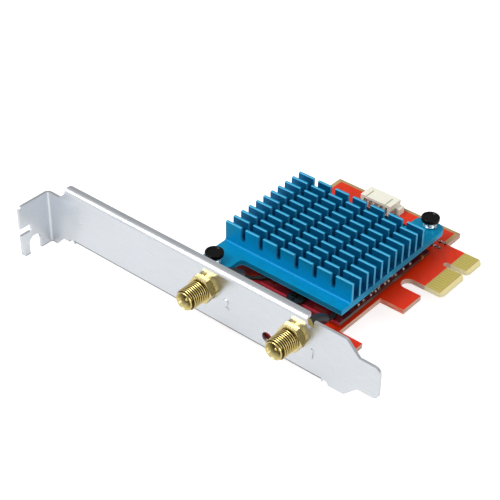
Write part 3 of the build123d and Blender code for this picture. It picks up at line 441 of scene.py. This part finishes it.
def dark_module_laminate(colours):
    """Thin module board under dark red mask, darkened further as painted shade under the heatsink, with gold
    at the half hole near its far corner. Its cut sides carry painted shade in dark brown, and painted light
    in pinkish red on the side toward the bracket."""
    material, tree, shader = start_material("dark_module_laminate", Coat_Weight=0.2, Coat_Roughness=0.15)
    where, x, y, _ = coordinates(tree)
    toward = facing(tree)
    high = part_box("module_board")[1]
    mask = tuple(colours.mask_dark)
    pour = remap(tree, noise(tree, where, 4.0, 1.0), 0.47, 0.53)
    traces = stripes(tree, where, 1.3, "Y")
    lines = both(tree, remap(tree, traces, 0.7, 0.85), pour)
    board = mixed(tree, pour, darker(mask, 0.5), mask)
    board = mixed(tree, lines, board, hex_colour("#4E2A18"))
    edge = band(tree, x, high[0] - HALF_HOLE_DEPTH, BEYOND)
    hole_near, hole_far = (high[1] - distance for distance in HALF_HOLE_FROM_END)
    gold_here = both(tree, edge, band(tree, y, hole_near, hole_far))
    cut = cut_side(tree, toward)
    # Painted light and shade on the cut sides: dark brown on the sides turned from the bracket, lit pinkish
    # red on the side toward it
    side = mixed(tree, faces_bracket(tree, toward), hex_colour("#2C1A10"), hex_colour("#B23446"))
    plain = mixed(tree, cut, board, side)
    tree.links.new(mixed(tree, gold_here, plain, hex_colour("#A8742C")), shader.inputs["Base Color"])
    tree.links.new(combine(tree, "MULTIPLY", gold_here, 0.6), shader.inputs["Metallic"])
    tree.links.new(remap(tree, cut, 0.0, 1.0, 0.35, 0.6), shader.inputs["Roughness"])
    bump(tree, shader, pour, 0.015)
    return material


def tinned_chip():
    """Ceramic chips between solder fillets: dark bodies, with bright tin where the solder has wetted them."""
    material, tree, shader = start_material("tinned_chip")
    where, _, _, _ = coordinates(tree)
    wetted = remap(tree, noise(tree, where, 0.6, 1.0), 0.48, 0.54)
    tone = mixed(tree, wetted, hex_colour("#4A2C22"), hex_colour("#E6E2DE"))
    tree.links.new(tone, shader.inputs["Base Color"])
    tree.links.new(remap(tree, wetted, 0.0, 1.0, 0.0, 0.4), shader.inputs["Metallic"])
    shader.inputs["Roughness"].default_value = 0.35
    return material


def blue_anodised_aluminium(colours):
    """Anodised extrusion: satin saturated blue with draw lines along the fins. Painted highlights in paler
    blue lie on the sawn ends, on the near edge of each fin's crest and along the lowest and highest edges of
    the base, and painted shade darkens the blue between the rows."""
    material, tree, shader = start_material("blue_anodised_aluminium", Metallic=0.5, Specular_IOR_Level=0.2)
    where, _, y, z = coordinates(tree)
    toward = facing(tree)
    low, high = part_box("heatsink")
    draw = noise(tree, stretched(tree, where, (0.05, 1.0, 1.0)), 0.3, 3.0)
    blue = tuple(colours.anodised)
    pale = tuple(colours.crest)
    body = mixed(tree, remap(tree, draw, 0.35, 0.65), darker(blue, 0.86), blue)
    # Distance past the near side of the nearest fin
    first = FIN_MIDDLE_Y - FIN_PITCH * (FIN_ROWS - 1) / 2 - FIN_HALF
    along = combine(tree, "MODULO", combine(tree, "SUBTRACT", y, first - FIN_PITCH), FIN_PITCH)
    # Painted shade: the blue is darker between the rows
    between = both(
        tree,
        band(tree, z, PLINTH[1] - 0.1 * MM, high[2] - 0.1 * MM),
        band(tree, y, first + 0.2 * MM, BEYOND),
    )
    body = mixed(tree, between, body, hex_colour("#006494"))
    # Painted highlights: paler blue on the near edge of each fin's crest, the sawn ends, the plinth's front
    # and the base's lowest edge
    crest = both(
        tree,
        band(tree, z, high[2] - CREST_EDGE, BEYOND),
        remap(tree, along, 0.3 * MM, 0.5 * MM, 1.0, 0.15),
    )
    fin_end = both(tree, remap(tree, toward[0], 0.7, 0.95), band(tree, z, PLINTH[1], BEYOND), 0.55)
    riser = both(tree, band(tree, z, *PLINTH), faces_bracket(tree, toward), 0.8)
    rim = both(tree, band(tree, z, -BEYOND, low[2] + SHEARED_EDGE), 0.5)
    light = either(tree, crest, fin_end, riser, rim)
    tree.links.new(mixed(tree, light, body, pale), shader.inputs["Base Color"])
    tree.links.new(remap(tree, draw, 0.3, 0.7, 0.36, 0.46), shader.inputs["Roughness"])
    bump(tree, shader, draw, 0.008)
    return material


def milled_gold(gold):
    """Gold flash on the nuts: bright over the turned face and the upper flat, with painted shade over the
    flats toward the tongue."""
    material, tree, shader = start_material("gold_plated_flats", Metallic=1.0)
    where, _, _, _ = coordinates(tree)
    toward = facing(tree)
    cloud = noise(tree, where, 0.8, 3.0)
    bright = mixed(tree, cloud, darker(gold, 0.86), hex_colour("#E6D8A4"))
    # Painted shade on the flats that face toward the tongue
    painted_shade = remap(tree, toward[0], 0.5, 0.8)
    tree.links.new(mixed(tree, painted_shade, bright, darker(gold, 0.45)), shader.inputs["Base Color"])
    tree.links.new(remap(tree, cloud, 0.3, 0.7, 0.22, 0.32), shader.inputs["Roughness"])
    bump(tree, shader, cloud, 0.003)
    return material


def threaded_gold(gold, depth):
    """Gold flash over turned brass on the jack bodies, with painted shade in the thread's root and further
    into the bore, darker than the crests and the rim at the tip."""
    material, tree, shader = start_material("gold_plated_thread", Metallic=1.0)
    where, x, y, z = coordinates(tree)
    distances = []
    for number in JACKS:
        axis = node_centre(f"jack_{number}_body")
        aside = combine(tree, "SUBTRACT", x, axis.x)
        above = combine(tree, "SUBTRACT", z, axis.z)
        aside_squared = combine(tree, "MULTIPLY", aside, aside)
        above_squared = combine(tree, "MULTIPLY", above, above)
        squared = combine(tree, "ADD", aside_squared, above_squared)
        distances.append(combine(tree, "SQRT", squared, 0.0))
    radius = combine(tree, "MINIMUM", *distances)
    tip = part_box("jack_1_body")[0][1]
    root = THREAD_CREST - depth
    # Painted shade in the thread's root
    valley_shade = both(
        tree,
        remap(tree, radius, root + 0.1 * MM, THREAD_CREST - 0.06 * MM, 1.0, 0.0),
        band(tree, y, tip + PLAIN_TIP, plate_face()),
        band(tree, radius, BORE_RIM, BEYOND),
    )
    cloud = noise(tree, where, 0.8, 3.0)
    bright = mixed(tree, cloud, darker(gold, 0.88), gold)
    bore = band(tree, radius, -BEYOND, BORE_RIM)
    # Painted shade, darker further into the bore
    bore_depth_shade = remap(tree, y, tip + BORE_SHADE[0], tip + BORE_SHADE[1])
    inside = mixed(tree, bore_depth_shade, hex_colour("#D6CA92"), hex_colour("#57481A"))
    colour = mixed(tree, bore, mixed(tree, valley_shade, bright, hex_colour("#3E3212")), inside)
    tree.links.new(colour, shader.inputs["Base Color"])
    tree.links.new(remap(tree, bore, 0.0, 1.0, 1.0, 0.4), shader.inputs["Metallic"])
    tree.links.new(remap(tree, cloud, 0.3, 0.7, 0.17, 0.24), shader.inputs["Roughness"])
    return material


# Geometry helpers
def finished_piece(name, mesh, material, node=None):
    """Object of a bmesh at the origin, riding on the card and standing for a CAD node if one is named."""
    data = bpy.data.meshes.new(name)
    mesh.to_mesh(data)
    mesh.free()
    piece = bpy.data.objects.new(name, data)
    bpy.context.collection.objects.link(piece)
    data.materials.append(material)
    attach(piece, BODY)
    if node:
        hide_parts(node)
    return piece


def curve_mesh(context, curve):
    """Mesh of a text curve, whose object is dropped again."""
    holder = bpy.data.objects.new("holder", curve)
    context.collection.objects.link(holder)
    context.view_layer.update()
    data = bpy.data.meshes.new_from_object(holder)
    bpy.data.objects.remove(holder)
    mesh = bmesh.new()
    mesh.from_mesh(data)
    bpy.data.meshes.remove(data)
    return mesh


def outward(mesh):
    """Merge doubles and turn every face outwards."""
    bmesh.ops.remove_doubles(mesh, verts=mesh.verts, dist=0.002 * MM)
    bmesh.ops.recalc_face_normals(mesh, faces=mesh.faces)


def ring_of(mesh, centre, axis, side, profile, steps):
    """Spin a profile, given as pairs of distance to the side and along the axis, round the full circle."""
    points = [mesh.verts.new(centre + side * radius + axis * along) for radius, along in profile]
    edges = [mesh.edges.new(pair) for pair in zip(points, points[1:])]
    bmesh.ops.spin(
        mesh, geom=points + edges, cent=centre, axis=axis, angle=math.tau, steps=steps, use_merge=True
    )


def box_at(mesh, middle, size):
    """Add a plain box."""
    place = Matrix.Translation(middle) @ Matrix.Diagonal((*size, 1.0))
    bmesh.ops.create_cube(mesh, size=1.0, matrix=place)


# Operators
class CARD_OT_bracket(bpy.types.Operator):
    """Plate the bracket and number its two aerial ports"""

    bl_idname = "card.bracket"
    bl_label = "Bracket"

    def execute(self, context):
        scene = context.scene
        sizes = scene.card_sizes
        steel = zinc_plated_steel(sizes, scene.card_colours)
        dress(steel, "bracket")
        # Port numbers, coined so that they stand a little off the plate
        numeral_y = plate_face() - sizes.numeral_rise / 2
        for number, (jack_number, aside, above) in NUMERAL_SPOTS.items():
            jack = node_centre(f"jack_{jack_number}_nut")
            curve = bpy.data.curves.new("numeral", "FONT")
            curve.body = str(number)
            curve.size = sizes.numeral_height
            curve.extrude = sizes.numeral_rise / 2
            curve.bevel_depth = 0.07 * MM
            curve.align_x = "CENTER"
            curve.align_y = "CENTER"
            curve.resolution_u = 5
            mesh = curve_mesh(context, curve)
            outward(mesh)
            place = Matrix.Translation((jack.x + aside, numeral_y, jack.z + above))
            upright = Matrix.Rotation(math.pi / 2, 4, "X")
            bmesh.ops.transform(mesh, matrix=place @ upright, verts=mesh.verts)
            piece = finished_piece(f"port_numeral_{number}", mesh, steel)
        return {"FINISHED"}


class CARD_OT_boards(bpy.types.Operator):
    """Finish the main board, the module, the gold fingers and the parts soldered on them"""

    bl_idname = "card.boards"
    bl_label = "Boards"

    def execute(self, context):
        scene = context.scene
        colours = scene.card_colours
        dress(red_board_laminate(colours), "main_board")
        dress(dark_module_laminate(colours), "module_board")
        # Hard gold on the fingers is etched flat and a little brassy
        fingers = plain_variation(
            "hard_gold_fingers", tuple(colours.finger), 0.34, 0.8, 0.1, 0.003, Metallic=0.55
        )
        dress(fingers, "edge_fingers_top", "edge_fingers_under")
        # Tin over steel or copper: grey-white, softly bright
        tin = plain_variation("tinned_metal", hex_colour("#C9CBC8"), 0.32, 0.7, 0.12, 0.004, Metallic=1.0)
        dress(tin, "module_shield", "header_pins", "header_anchors", "socket_leads", "board_screws")
        # Black zinc on the small screw, kept dark also as painted shade under the heatsink
        black_zinc = plain_variation(
            "black_zinc_screw", hex_colour("#1C1A1A"), 0.4, 0.6, 0.2, 0.003, Metallic=0.6
        )
        dress(black_zinc, "module_screw")
        # Filled silicone sheet, dull grey and slightly pitted
        silicone = plain_variation("silicone_pad", hex_colour("#8C9096"), 0.8, 0.5, 0.15, 0.03)
        dress(silicone, "thermal_pad")
        # Fired ceramic chips, tan with a matt skin
        ceramic = plain_variation("ceramic_chip", hex_colour("#B59B78"), 0.55, 0.3, 0.2, 0.004)
        dress(ceramic, "module_chips")
        dress(tinned_chip(), "board_chips")
        # Row of smaller chips close to the module's edge, each a pale body between two tinned ends
        pale = plain_variation("pale_ceramic_chip", hex_colour("#D9C9BE"), 0.5, 0.3, 0.15, 0.004)
        low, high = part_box("module_board")
        length = scene.card_sizes.chip
        bodies = bmesh.new()
        ends = bmesh.new()
        for index, place in enumerate(CHIP_SPOTS):
            middle = Vector((high[0] - CHIP_INSET, low[1] + place * MM, high[2] + CHIP_HEIGHT / 2))
            along, across = Vector((0, 1, 0)), Vector((1, 0, 0))
            # Every third chip is turned
            if index % 3 == 1:
                along, across = across, along
            section = across * length * 0.5 + Vector((0, 0, CHIP_HEIGHT))
            box_at(bodies, middle, section + along * length * 0.6)
            for end in (-0.4, 0.4):
                box_at(ends, middle + along * length * end, section + along * length * 0.2)
        finished_piece("module_edge_chips", bodies, pale)
        finished_piece("module_edge_chip_ends", ends, tin)
        return {"FINISHED"}


class CARD_OT_heatsink(bpy.types.Operator):
    """Anodise the heatsink"""

    bl_idname = "card.heatsink"
    bl_label = "Heatsink"

    def execute(self, context):
        dress(blue_anodised_aluminium(context.scene.card_colours), "heatsink")
        return {"FINISHED"}


class CARD_OT_pins(bpy.types.Operator):
    """Finish the push pins and wind the springs under their heads"""

    bl_idname = "card.pins"
    bl_label = "Push pins"

    def execute(self, context):
        scene = context.scene
        # Moulded nylon: black, smooth and fairly glossy
        nylon = plain_variation(
            "black_moulded_nylon", tuple(scene.card_colours.nylon), 0.24, 0.6, 0.2, 0.002,
            Specular_IOR_Level=0.12,
        )
        dress(nylon, "push_pin_near", "push_pin_far", "module_socket")
        # Bright drawn spring wire
        wire = plain_variation("spring_wire", hex_colour("#E2E6E8"), 0.14, 0.4, 0.08, 0.001, Metallic=1.0)
        wire_radius = scene.card_sizes.spring_wire / 2
        for side in SIDES:
            name = "pin_spring_" + side
            low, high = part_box(name)
            centre = node_centre(name)
            radius = (high[0] - low[0]) / 2 - wire_radius
            height = high[2] - low[2] - 2 * wire_radius
            coil = bmesh.new()
            wire_end = Matrix.Translation((centre.x + radius, centre.y, low[2] + wire_radius))
            bmesh.ops.create_circle(
                coil, cap_ends=True, segments=12, radius=wire_radius,
                matrix=wire_end @ Matrix.Rotation(math.pi / 2, 4, "X"),
            )
            section = coil.verts[:] + coil.edges[:] + coil.faces[:]
            # The first and last half turns lie flat, as ground ends do
            for turn, climb in ((0.5, 0.0), (SPRING_TURNS - 1.0, height), (0.5, 0.0)):
                steps = round(turn * COIL_STEPS)
                swept = bmesh.ops.spin(
                    coil, geom=section, cent=(centre.x, centre.y, 0), axis=(0, 0, 1),
                    dvec=(0, 0, climb / steps), angle=math.tau * turn, steps=steps,
                )
                section = swept["geom_last"]
            outward(coil)
            for face in coil.faces:
                face.smooth = len(face.verts) == 4
            piece = finished_piece("coil_spring_" + side, coil, wire, name)
            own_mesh(piece)
        return {"FINISHED"}


class CARD_OT_jacks(bpy.types.Operator):
    """Cut the threads of the aerial jacks and plate them with their nuts and washers"""

    bl_idname = "card.jacks"
    bl_label = "Aerial jacks"

    def execute(self, context):
        scene = context.scene
        pitch = scene.card_sizes.thread_pitch
        depth = scene.card_sizes.thread_depth
        # Gold flash over nickel on turned brass: warm, bright, with faint tool marks
        gold = tuple(scene.card_colours.gold)
        plated = plain_variation("gold_plated_brass", gold, 0.2, 0.8, 0.12, 0.003, Metallic=1.0)
        dress(plated, "aerial_sockets", "aerial_plug_1", "aerial_plug_2", "module_standoff")
        milled = milled_gold(gold)
        threaded = threaded_gold(gold, depth)
        # Fluoropolymer core, milky white
        core = plain_variation("white_fluoropolymer", hex_colour("#E4DFC8"), 0.45, 0.5, 0.06, 0.002)
        axis = Vector((0, 1, 0))
        side = Vector((0, 0, 1))
        for number in JACKS:
            dress(milled, f"jack_{number}_nut")
            dress(plated, f"jack_{number}_washer", f"jack_{number}_contact")
            dress(core, f"jack_{number}_core")
            low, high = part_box(f"jack_{number}_body")
            core_low, core_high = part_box(f"jack_{number}_core")
            middle = node_centre(f"jack_{number}_body")
            centre = Vector((middle.x, 0, middle.z))
            root = THREAD_CREST - depth
            bore = (core_high[0] - core_low[0]) / 2 + CORE_FIT
            back = plate_face() + PLATE
            tip = low[1]
            mesh = bmesh.new()
            barrel = [
                (0.0, core_high[1]),
                (bore, core_high[1]),
                (bore, tip + BORE_LEAD_IN[1]),
                (bore + BORE_LEAD_IN[0], tip),
                (root - TIP_CHAMFER, tip),
                (root, tip + TIP_CHAMFER),
                (root, back),
                (JACK_NECK, back),
                (JACK_NECK, high[1] - BACK_CHAMFER),
                (JACK_NECK - BACK_CHAMFER, high[1]),
                (0.0, high[1]),
            ]
            ring_of(mesh, centre, axis, side, barrel, BARREL_SIDES)
            outward(mesh)
            # Thread ridge, wound from inside the nut to just short of the tip
            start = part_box(f"jack_{number}_nut")[0][1] + THREAD_INTO_NUT
            turns = (start - tip - THREAD_FROM_TIP) / pitch
            flank = pitch * 0.46
            sunk = root - THREAD_SUNK
            section = (
                (sunk, flank), (THREAD_CREST, THREAD_LAND), (THREAD_CREST, -THREAD_LAND), (sunk, -flank)
            )
            ridge = [
                mesh.verts.new(centre + side * radius + axis * (start + along)) for radius, along in section
            ]
            cap = mesh.faces.new(ridge)
            steps = int(turns * RING_STEPS)
            before = set(mesh.faces)
            bmesh.ops.spin(
                mesh, geom=ridge + list(cap.edges) + [cap], cent=centre, axis=axis,
                dvec=axis * (-pitch * turns / steps), angle=math.tau * turns, steps=steps,
            )
            ridge_faces = [face for face in mesh.faces if face not in before or face is cap]
            bmesh.ops.recalc_face_normals(mesh, faces=ridge_faces)
            for face in mesh.faces:
                face.smooth = len(face.verts) == 4
            # Hexagon behind the plate
            corner_reach = (high[0] - low[0]) / 2
            hexagon = bmesh.ops.create_circle(mesh, cap_ends=True, segments=6, radius=corner_reach)
            place = Matrix.Translation((centre.x, back, centre.z))
            turned = Matrix.Rotation(-math.pi / 2, 4, "X") @ Matrix.Rotation(math.pi / 6, 4, "Z")
            bmesh.ops.transform(mesh, matrix=place @ turned, verts=hexagon["verts"])
            hex_face = list({face for vert in hexagon["verts"] for face in vert.link_faces})
            grown = bmesh.ops.extrude_face_region(mesh, geom=hex_face)
            moved = [item for item in grown["geom"] if isinstance(item, bmesh.types.BMVert)]
            bmesh.ops.translate(mesh, vec=(0, JACK_HEXAGON, 0), verts=moved)
            piece = finished_piece(f"jack_{number}_threaded", mesh, threaded, f"jack_{number}_body")
        return {"FINISHED"}


class CARD_OT_leads(bpy.types.Operator):
    """Finish the leads and the shrunk tubes over them"""

    bl_idname = "card.leads"
    bl_label = "Leads"

    def execute(self, context):
        rubber = tuple(context.scene.card_colours.rubber)
        # Shrunk polyolefin tube: black, softly glossy, slightly rippled over what it grips
        tube = plain_variation("shrunk_tube", rubber, 0.42, 1.2, 0.3, 0.05)
        dress(tube, "jack_sleeve_1", "jack_sleeve_2")
        # Thin fluoropolymer jacket, black and smooth, darkened below the tube's black as painted shade under
        # the heatsink
        jacket = plain_variation(
            "lead_jacket", darker(rubber, 0.4), 0.5, 0.8, 0.2, 0.005, Specular_IOR_Level=0.25
        )
        dress(jacket, "antenna_cable_1", "antenna_cable_2")
        return {"FINISHED"}


class CARD_OT_header(bpy.types.Operator):
    """Finish the data header"""

    bl_idname = "card.header"
    bl_label = "Data header"

    def execute(self, context):
        # Moulded nylon: warm white, matt, a little translucent
        ivory = plain_variation(
            "ivory_moulded_nylon", tuple(context.scene.card_colours.ivory), 0.5, 1.0, 0.05, 0.006,
            Subsurface_Weight=0.08, Subsurface_Scale=0.4 * MM,
        )
        dress(ivory, "header_housing")
        return {"FINISHED"}


class CARD_OT_stage(bpy.types.Operator):
    """Set the floor, the lights, the surroundings and the camera"""

    bl_idname = "card.stage"
    bl_label = "Stage"

    def execute(self, context):
        scene = context.scene
        self.lay_floor(scene)
        self.surround(scene)
        self.hang_lamps(scene)
        self.place_camera(scene)
        scene.view_settings.view_transform = "Standard"
        return {"FINISHED"}

    def lay_floor(self, scene):
        """White paper under the card. A glow that only the camera and mirroring surfaces see makes it white
        where no shadow falls, and lights nothing."""
        mesh = bmesh.new()
        bmesh.ops.create_grid(mesh, x_segments=1, y_segments=1, size=3.0)
        data = bpy.data.meshes.new("floor")
        mesh.to_mesh(data)
        mesh.free()
        floor = bpy.data.objects.new("floor", data)
        scene.collection.objects.link(floor)
        floor.location = (0, 0, CAD_BOX[0][2] - 0.02 * MM)
        paper = bpy.data.materials.new("white_paper")
        paper.use_nodes = True
        tree = paper.node_tree
        tree.nodes.clear()
        shaded = add_node(tree, "ShaderNodeBsdfDiffuse", {"Color": darker(WHITE, PAPER_WHITE)})
        path = add_node(tree, "ShaderNodeLightPath").outputs
        mirrored = combine(tree, "MAXIMUM", path["Is Glossy Ray"], path["Is Transmission Ray"])
        lift = either(
            tree,
            combine(tree, "MULTIPLY", path["Is Camera Ray"], PAPER_LIFT),
            combine(tree, "MULTIPLY", mirrored, MIRRORED_LIFT),
        )
        glow = add_node(tree, "ShaderNodeEmission", {"Color": WHITE, "Strength": lift})
        summed = add_node(tree, "ShaderNodeAddShader", {0: shaded.outputs[0], 1: glow.outputs[0]})
        output = add_node(tree, "ShaderNodeOutputMaterial")
        tree.links.new(summed.outputs[0], output.inputs["Surface"])
        data.materials.append(paper)

    def surround(self, scene):
        """Soft studio walls: bright above and in front of the card, dim low down behind it."""
        world = bpy.data.worlds.new("studio")
        scene.world = world
        world.use_nodes = True
        tree = world.node_tree
        tree.nodes.clear()
        toward = add_node(tree, "ShaderNodeTexCoord").outputs["Generated"]
        parts = add_node(tree, "ShaderNodeSeparateXYZ", {0: toward}).outputs
        above = remap(tree, parts[2], 0.55, 0.95)
        front = remap(tree, parts[1], 0.15, -0.35)
        strength = remap(tree, either(tree, above, front), 0.0, 1.0, 0.42, 0.82)
        sky = add_node(tree, "ShaderNodeBackground", {"Color": WHITE, "Strength": strength})
        output = add_node(tree, "ShaderNodeOutputWorld")
        tree.links.new(sky.outputs[0], output.inputs["Surface"])

    def hang_lamps(self, scene):
        """A key lamp from the front left and a weaker one from the right."""
        for name, place, size, power in (
            ("key", (-0.30, -0.45, 0.60), 0.40, 4.2),
            ("fill", (0.70, -0.10, 0.35), 0.45, 2.4),
        ):
            lamp = bpy.data.lights.new(name, "AREA")
            lamp.size = size
            lamp.energy = power
            holder = bpy.data.objects.new(name, lamp)
            scene.collection.objects.link(holder)
            holder.location = place
            aim = LAMP_TARGET - Vector(place)
            holder.rotation_euler = aim.to_track_quat("-Z", "Y").to_euler()

    def place_camera(self, scene):
        """Camera at the photograph's angle."""
        right = Vector((math.cos(CAMERA_AZIMUTH), math.sin(CAMERA_AZIMUTH), 0))
        back = Vector((
            math.sin(CAMERA_AZIMUTH) * math.cos(CAMERA_ELEVATION),
            -math.cos(CAMERA_AZIMUTH) * math.cos(CAMERA_ELEVATION),
            math.sin(CAMERA_ELEVATION),
        ))
        up = back.cross(right)
        turned_right = right * math.cos(CAMERA_ROLL) + up * math.sin(CAMERA_ROLL)
        turned_up = up * math.cos(CAMERA_ROLL) - right * math.sin(CAMERA_ROLL)
        lens = bpy.data.cameras.new("camera")
        lens.sensor_width = 36.0
        lens.lens = CAMERA_LENS
        lens.clip_start = 0.01
        lens.clip_end = 20.0
        camera = bpy.data.objects.new("camera", lens)
        scene.collection.objects.link(camera)
        camera.matrix_world = Matrix((
            (turned_right.x, turned_up.x, back.x, CAMERA_PLACE[0]),
            (turned_right.y, turned_up.y, back.y, CAMERA_PLACE[1]),
            (turned_right.z, turned_up.z, back.z, CAMERA_PLACE[2]),
            (0, 0, 0, 1),
        ))
        scene.camera = camera


class CARD_PT_sidebar(bpy.types.Panel):
    """Lists the steps that finish the card"""

    bl_label = "Wireless card"
    bl_idname = "CARD_PT_sidebar"
    bl_space_type = "VIEW_3D"
    bl_region_type = "UI"
    bl_category = "Card"

    def draw(self, context):
        for group in (context.scene.card_sizes, context.scene.card_colours):
            for name in group.__annotations__:
                self.layout.prop(group, name)
        for step in STEPS:
            self.layout.operator(step.bl_idname)


STEPS = (
    CARD_OT_stage,
    CARD_OT_bracket,
    CARD_OT_boards,
    CARD_OT_heatsink,
    CARD_OT_pins,
    CARD_OT_jacks,
    CARD_OT_leads,
    CARD_OT_header,
)
GROUPS = (CardSizes, CardColours)


def register():
    for kind in GROUPS + STEPS + (CARD_PT_sidebar,):
        bpy.utils.register_class(kind)
    bpy.types.Scene.card_sizes = bpy.props.PointerProperty(type=CardSizes)
    bpy.types.Scene.card_colours = bpy.props.PointerProperty(type=CardColours)


def unregister():
    del bpy.types.Scene.card_colours
    del bpy.types.Scene.card_sizes
    for kind in reversed(GROUPS + STEPS + (CARD_PT_sidebar,)):
        bpy.utils.unregister_class(kind)


def main():
    """Register the add-on and run every step."""
    register()
    for step in STEPS:
        group, name = step.bl_idname.split(".")
        getattr(getattr(bpy.ops, group), name)()


if __name__ == "__main__":
    main()
